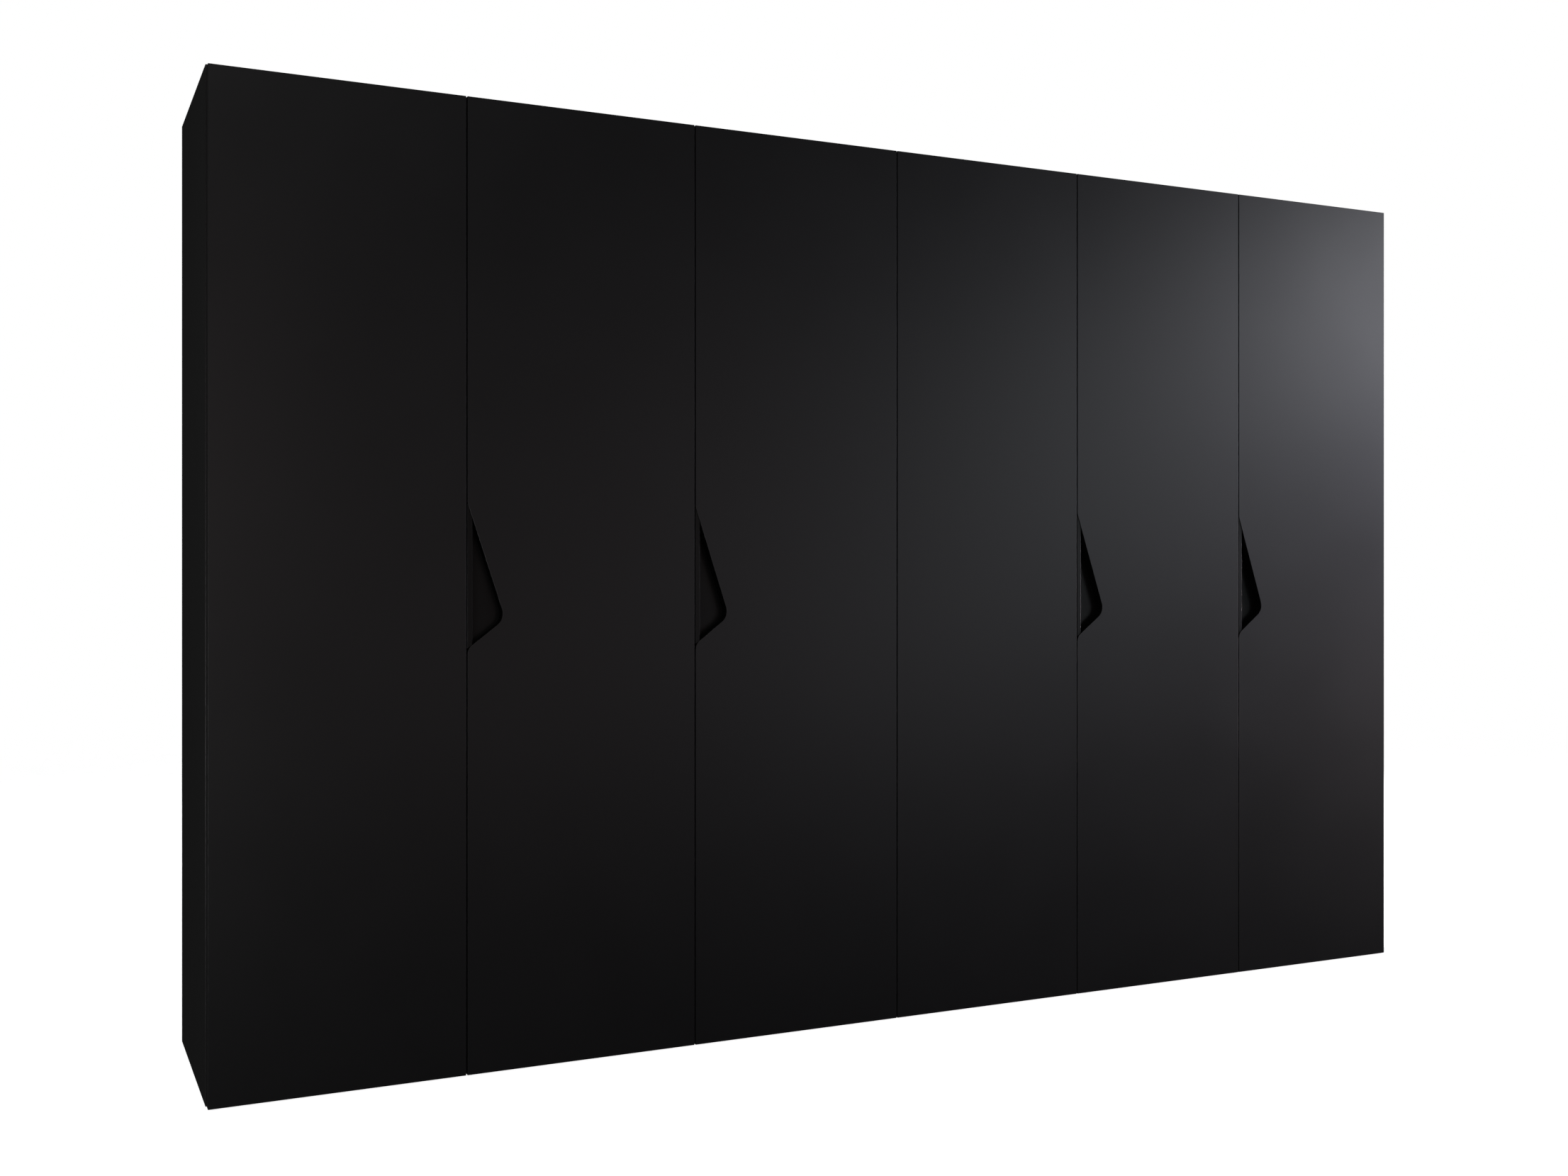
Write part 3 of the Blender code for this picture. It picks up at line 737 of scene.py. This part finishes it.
def add_hinges(number, steel):
    """One door's four hinges: cups ride on the door, arms on the carcass, and the links stand between them on
    no body.
    """
    joint = joints[f"door_leaf_{number}"]
    hand = -joint["axis"][2]
    leaf = f"door_leaf_{number}"
    door_low, door_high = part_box(f"door_{number}")
    hinge_edge = door_low.x if hand > 0 else door_high.x
    cup_x = hand * (hinge_edge - joint["pos_m"][0]) + CUP_FROM_EDGE
    arm_low, arm_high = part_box(f"hinge_arm_{number}_top")
    plate_x = arm_low.x if hand > 0 else arm_high.x
    side_face = hand * (plate_x - joint["pos_m"][0]) - ARM_PLAY
    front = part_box("side_left")[0].y - joint["pos_m"][1]
    for level, height in HINGE_HEIGHTS.items():
        modelled = level in ("bottom", "top")
        name = f"{number}_{level}"
        add_piece(
            f"cup_{name}", cup_shells(joint, height, door_high.y, cup_x), [steel], leaf,
            [f"hinge_cup_{name}"] if modelled else (),
        )
        add_piece(
            f"arm_{name}", arm_shells(joint, height, side_face, front), [steel], "carcass",
            [f"hinge_arm_{name}"] if modelled else (),
        )
        links = [place_hinge(link_rings(*sizes), joint, height) for sizes in (INNER_LINK, OUTER_LINK)]
        link = add_piece(f"links_{name}", links, [steel], None)
        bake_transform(link)


nickel = plated_steel("nickel_plated_steel", "#c6c1b8", 0.26, 600.0)
for number in range(1, 7):
    add_hinges(number, nickel)


# Hanging rails. Each double compartment has an oval tube of chromed steel across it, cut square and held
# at each end in a die-cast socket that is screwed to the upright.

RAIL_WALL = 0.0012
SOCKET_SIZE = (0.024, 0.062)
SOCKET_PLATE = 0.0016
SOCKET_BEYOND = 0.0018
SOCKET_DEPTH = 0.013
COLLAR_GROWTH = 0.0045
COLLAR_PLAY = 0.0006
SOCKET_SCREW = (0.0036, 0.0010)
SOCKET_SCREW_AWAY = 0.0238


def stadium(width, height, steps=10):
    """An upright slot shape, anticlockwise: two half circles of half the width, joined by straight sides."""
    angle = np.linspace(0, np.pi, steps + 1)
    top = np.stack((np.cos(angle), np.sin(angle)), axis=1) * width / 2 + (0, (height - width) / 2)
    return np.concatenate((top, -top))


def tube(outer, inner, low, high):
    """Rings of an open-ended tube, to be looped: out along the outer outline and back along the inner one."""
    ends = ((outer, low), (outer, high), (inner, high), (inner, low))
    return np.array([np.column_stack((outline, np.full(len(outline), height))) for outline, height in ends])


def add_rail(label, chrome, zinc):
    low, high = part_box(f"hanging_rail_{label}")
    centre = np.array(((low.y + high.y) / 2, (low.z + high.z) / 2, 0))
    width, height = high.y - low.y, high.z - low.z
    bore = stadium(width - 2 * RAIL_WALL, height - 2 * RAIL_WALL, 16)
    bar = tube(stadium(width, height, 16), bore, low.x, high.x)
    add_piece(
        f"rail_{label}", [skin(lay(bar + centre, "yzx"), looped=True)], [chrome], "carcass",
        [f"hanging_rail_{label}"],
    )
    shells = []
    outer = stadium(width + COLLAR_GROWTH, height + COLLAR_GROWTH)
    inner = stadium(width + COLLAR_PLAY, height + COLLAR_PLAY)
    for end, inward in ((low.x - SOCKET_BEYOND, 1), (high.x + SOCKET_BEYOND, -1)):
        plate_ends = sorted((end, end + inward * SOCKET_PLATE))
        shells.append(skin(lay(slab(stadium(*SOCKET_SIZE), *plate_ends, 0.0005, 2) + centre, "yzx")))
        collar_ends = sorted((end + inward * SOCKET_PLATE, end + inward * SOCKET_DEPTH))
        shells.append(skin(lay(tube(outer, inner, *collar_ends) + centre, "yzx"), looped=True))
        for side in (-1, 1):
            place = (centre[0], centre[1] + side * SOCKET_SCREW_AWAY, end + inward * (SOCKET_PLATE + SEAT))
            shells.append(skin(lay(screw_head(*SOCKET_SCREW) * (1, 1, inward) + place, "yzx")))
    add_piece(f"rail_sockets_{label}", shells, [zinc], "carcass")


chrome = plated_steel("bright_chrome_plate", "#dadbdd", 0.10, 300.0)
for label in ("left", "right"):
    add_rail(label, chrome, zinc_steel)


# Shelf pins. Every shelf lies on four turned steel pins, 5 mm thick, pushed into holes in the uprights up
# to their collar.

PIN_RADIUS = 0.0025
PIN_REACH = 0.009
PIN_IN_HOLE = 0.003
PIN_INSET = 0.050
PIN_UNDER = 0.0013
PIN_ROUND = 0.0006
COLLAR_OVER = 0.0012
COLLAR_FACE = 0.0003
COLLAR_TOP = 0.0016


def add_pins(shelf, steel):
    low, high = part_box(shelf)
    profile = [
        (0, -PIN_IN_HOLE), (PIN_RADIUS, -PIN_IN_HOLE), (PIN_RADIUS, COLLAR_FACE),
        (PIN_RADIUS + COLLAR_OVER, COLLAR_FACE), (PIN_RADIUS + COLLAR_OVER, COLLAR_TOP),
        (PIN_RADIUS, COLLAR_TOP + 0.0002), (PIN_RADIUS, PIN_REACH - PIN_ROUND),
        (PIN_RADIUS - PIN_ROUND, PIN_REACH), (0, PIN_REACH),
    ]
    pins = []
    for x, inward in ((low.x, 1), (high.x, -1)):
        for y in (low.y + PIN_INSET, high.y - PIN_INSET):
            rings = turned(profile, 14) * (1, 1, inward) + (y, low.z - PIN_RADIUS - PIN_UNDER, x)
            pins.append(skin(lay(rings, "yzx")))
    add_piece(f"pins_{shelf}", pins, [steel], "carcass")


for label in ("left", "right"):
    for shelf in (f"hat_shelf_{label}", *(f"shelf_{label}_{number}" for number in range(1, 5))):
        add_pins(shelf, nickel)


# Connecting screws. The two carcasses are drawn together by four sleeve screws through both centre sides,
# whose broad cross heads show on the two inner faces.

CONNECTOR_HEAD = (0.0065, 0.0014)
CONNECTOR_HEIGHTS = (0.300, 1.450)
CONNECTOR_INSETS = (0.045, 0.060)


def add_connectors(steel):
    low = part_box("centre_side_left")[0]
    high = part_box("centre_side_right")[1]
    heads = []
    for x, outward in ((low.x, -1), (high.x, 1)):
        for y in (low.y + CONNECTOR_INSETS[0], high.y - CONNECTOR_INSETS[1]):
            for z in CONNECTOR_HEIGHTS:
                rings = screw_head(*CONNECTOR_HEAD) * (1, 1, outward) + (y, z, x)
                heads.append(skin(lay(rings, "yzx")))
    add_piece("connecting_screws", heads, [steel], "carcass")


add_connectors(nickel)


# Door buffers. A soft clear dome is stuck to each door's rear, top and bottom, at its opening side. It
# fills most of the 4 mm gap behind the door, so that the door closes without a knock.

BUFFER_RADIUS = 0.0045
BUFFER_HEIGHT = 0.0028
BUFFER_FOOT = 0.0004
BUFFER_FROM_SIDE = 0.014
BUFFER_UP = 0.066
BUFFER_DOWN = 0.003


def soft_clear():
    """Clear polyurethane, IOR 1.5: a soft gel dome, faintly milky."""
    made, tree, shader, place = start_material(
        "clear_polyurethane", "#cfd2d3", 0.18, IOR=1.5, Transmission_Weight=0.5
    )
    cloud = add_node(tree, "ShaderNodeTexNoise", {"Vector": place, "Scale": 400.0})
    emboss(tree, shader, cloud.outputs["Fac"], 0.1, 0.0001)
    return made


def add_buffers(number, gel):
    low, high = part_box(f"door_{number}")
    hand = -joints[f"door_leaf_{number}"]["axis"][2]
    x = high.x - BUFFER_FROM_SIDE if hand > 0 else low.x + BUFFER_FROM_SIDE
    angle = np.linspace(0, np.pi / 2, 7)
    rise = BUFFER_FOOT + (BUFFER_HEIGHT - BUFFER_FOOT) * np.sin(angle)
    dome = [(0, 0), *zip(BUFFER_RADIUS * np.cos(angle), rise)]
    heights = (low.z + BUFFER_UP, high.z - BUFFER_DOWN)
    domes = [skin(lay(turned(dome, 20) + (x, z, high.y + SEAT), "xzy")) for z in heights]
    add_piece(f"buffers_{number}", domes, [gel], f"door_leaf_{number}")


gel = soft_clear()
for number in range(1, 7):
    add_buffers(number, gel)


# Fitting caps. The boards are drawn together by cam fittings, and each cam's 15 mm hole is closed with a
# thin moulded cap, under the top panels and on the bottom panels.

CAP_RADIUS = 0.0085
CAP_RIM = 0.0004
CAP_TOP = 0.0009
CAP_BEVEL = 0.0006
CAP_FROM_BOARD = 0.034
CAP_INSET = 0.060


def add_caps(label, plastic):
    caps = []
    bevel = CAP_RADIUS - CAP_BEVEL
    profile = [(0, 0), (CAP_RADIUS, 0), (CAP_RADIUS, CAP_RIM), (bevel, CAP_TOP), (0, CAP_TOP)]
    partition_low, partition_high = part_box(f"partition_{label}")
    for node, face, outward in ((f"top_panel_{label}", 0, -1), (f"bottom_panel_{label}", 1, 1)):
        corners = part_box(node)
        low, high = corners
        edges = ((low.x, 1), (partition_low.x, -1), (partition_high.x, 1), (high.x, -1))
        for edge, inward in edges:
            for y in (low.y + CAP_INSET, high.y - CAP_INSET):
                place = (edge + inward * CAP_FROM_BOARD, y, corners[face].z + outward * SEAT)
                caps.append(skin(turned(profile, 28) * (1, 1, outward) + place))
    add_piece(f"cam_caps_{label}", caps, [plastic], "carcass")


for label in ("left", "right"):
    add_caps(label, abs_black)


# The studio. A pale floor melts into a white surround, and soft boxes stand in a ring about the wardrobe.

FLOOR_RADIUS = 7.0
FLOOR_SOLID = 2.2
FLOOR_GLOW = 0.9
FLOOR_TOP = -0.0005
FLOOR_UNDER = -0.002


def pale_floor():
    """A matt white floor that glows a little, so that it stays pale where the boxes are dim. Towards its rim
    it turns see-through, so that it has no horizon."""
    made, tree, shader, place = start_material("pale_floor", "#f4f4f4", 0.9)
    shader.inputs["Emission Color"].default_value = (1, 1, 1, 1)
    shader.inputs["Emission Strength"].default_value = FLOOR_GLOW
    distance = add_node(tree, "ShaderNodeVectorMath", {0: place}, operation="LENGTH")
    limits = {"From Min": FLOOR_SOLID, "From Max": FLOOR_RADIUS, "To Min": 1.0, "To Max": 0.0}
    fade = add_node(
        tree, "ShaderNodeMapRange", {"Value": distance.outputs["Value"], **limits},
        interpolation_type="SMOOTHSTEP",
    )
    tree.links.new(fade.outputs["Result"], shader.inputs["Alpha"])
    return made


disc = turned([(0, FLOOR_UNDER), (FLOOR_RADIUS, FLOOR_UNDER), (FLOOR_RADIUS, FLOOR_TOP), (0, FLOOR_TOP)], 96)
floor = bpy.data.objects.new("floor", make_mesh("floor", [skin(disc)], [pale_floor()]))
bpy.context.scene.collection.objects.link(floor)
floor.visible_glossy = False
floor.visible_diffuse = False
floor.visible_shadow = False


STAGE_MIDDLE = np.array((0.5, -0.26, 1.2))
STAGE_DISTANCE = 5.0


def add_soft_box(name, azimuth, elevation, size, watts, colour):
    """A soft box at STAGE_DISTANCE from the middle of the stage, which it faces. Its azimuth counts from the
    wardrobe's right towards the front and its elevation from level, both in degrees."""
    turn, rise = math.radians(azimuth), math.radians(elevation)
    way = np.array((math.cos(turn) * math.cos(rise), -math.sin(turn) * math.cos(rise), math.sin(rise)))
    lamp = bpy.data.lights.new(name, "AREA")
    lamp.shape = "RECTANGLE"
    lamp.size, lamp.size_y = size
    lamp.energy = watts
    lamp.color = srgb(colour)[:3]
    box = bpy.data.objects.new(name, lamp)
    bpy.context.scene.collection.objects.link(box)
    box.location = STAGE_MIDDLE + way * STAGE_DISTANCE
    box.rotation_euler = (math.pi / 2 - rise, 0, math.pi / 2 - turn)
    box.visible_camera = False


# The front returns the boxes at its right and before it as one long glow. The overhead box and the low one at
# the left also light the inside, a weak one lights the left side, and the rear three light the back and top.
SOFT_BOXES = (
    ("right_low", 3, -8, (1.0, 1.0), 144.0, "#fff1f4"),
    ("right_high", 9, 7, (1.0, 1.0), 111.0, "#e9e9ff"),
    ("key", 34, 14, (1.0, 1.0), 25.0, "#f6f7ff"),
    ("key_side", 54, 5, (1.6, 1.6), 7.8, "#f2faff"),
    ("front_low", 66, -8, (1.6, 0.9), 3.1, "#fbf8ff"),
    ("front", 78, 5, (1.6, 1.6), 2.0, "#ffe9e9"),
    ("front_left_low", 90, -8, (1.6, 0.9), 1.8, "#ffe9e9"),
    ("front_left", 116, 5, (1.6, 1.6), 4.8, "#ffebeb"),
    ("left_low", 140, -10, (1.5, 0.6), 45.0, "#ffffff"),
    ("overhead", 128, 50, (1.6, 1.6), 50.0, "#ffffff"),
    ("left", 184, 5, (1.5, 1.5), 8.0, "#ffffff"),
    ("rear_right", -20, -4, (1.5, 1.2), 60.0, "#ffffff"),
    ("rear", -75, -4, (2.5, 1.2), 100.0, "#ffffff"),
    ("rear_top", -85, 75, (2.0, 2.0), 60.0, "#ffffff"),
)
for soft_box in SOFT_BOXES:
    add_soft_box(*soft_box)

SCRIM_PASSES = 0.06
SCRIM_AWAY = 0.06
SCRIM_HEIGHT = 2.3
SCRIM_REAR = 0.6


def side_scrim():
    """A dark net hung close to the right side. It lets a small share of the light through, so that the strong
    boxes at the right light the front in full, and the black side still looks black."""
    net = bpy.data.materials.new("dark_scrim_net")
    net.use_nodes = True
    tree = net.node_tree
    tree.nodes.clear()
    shade = (SCRIM_PASSES, SCRIM_PASSES, SCRIM_PASSES, 1)
    weave = add_node(tree, "ShaderNodeBsdfTransparent", {"Color": shade})
    add_node(tree, "ShaderNodeOutputMaterial", {"Surface": weave.outputs["BSDF"]})
    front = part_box("door_6")[0].y
    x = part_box("side_right")[1].x + SCRIM_AWAY
    sheet = bpy.data.meshes.new("side_scrim")
    corners = [(x, front, 0), (x, SCRIM_REAR, 0), (x, SCRIM_REAR, SCRIM_HEIGHT), (x, front, SCRIM_HEIGHT)]
    sheet.from_pydata(corners, [], [(0, 1, 2, 3)])
    sheet.materials.append(net)
    scrim = bpy.data.objects.new("side_scrim", sheet)
    bpy.context.scene.collection.objects.link(scrim)
    scrim.visible_camera = False


side_scrim()

# The surround is white to the camera, and lends the wardrobe a faint even light.
SURROUND_LIGHT = 0.02

world = bpy.data.worlds.new("white_surround")
world.use_nodes = True
bpy.context.scene.world = world
backdrop = world.node_tree.nodes["Background"]
backdrop.inputs["Color"].default_value = (1, 1, 1, 1)
seen = add_node(world.node_tree, "ShaderNodeLightPath").outputs["Is Camera Ray"]
levels = {"Value": seen, "To Min": SURROUND_LIGHT, "To Max": 1.0}
strength = add_node(world.node_tree, "ShaderNodeMapRange", levels)
world.node_tree.links.new(strength.outputs["Result"], backdrop.inputs["Strength"])
bpy.context.scene.view_settings.view_transform = "Standard"


# The camera stands to the left of the wardrobe, a metre above the floor. It is level, and looks across the
# front.

camera_data = bpy.data.cameras.new("camera")
camera_data.lens = 37.295
camera_data.shift_y = -0.00919
camera = bpy.data.objects.new("camera", camera_data)
bpy.context.scene.collection.objects.link(camera)
camera.location = (-1.8305, -3.5185, 1.0227)
camera.rotation_euler = (math.radians(90), 0, math.radians(-25.342))
bpy.context.scene.camera = camera
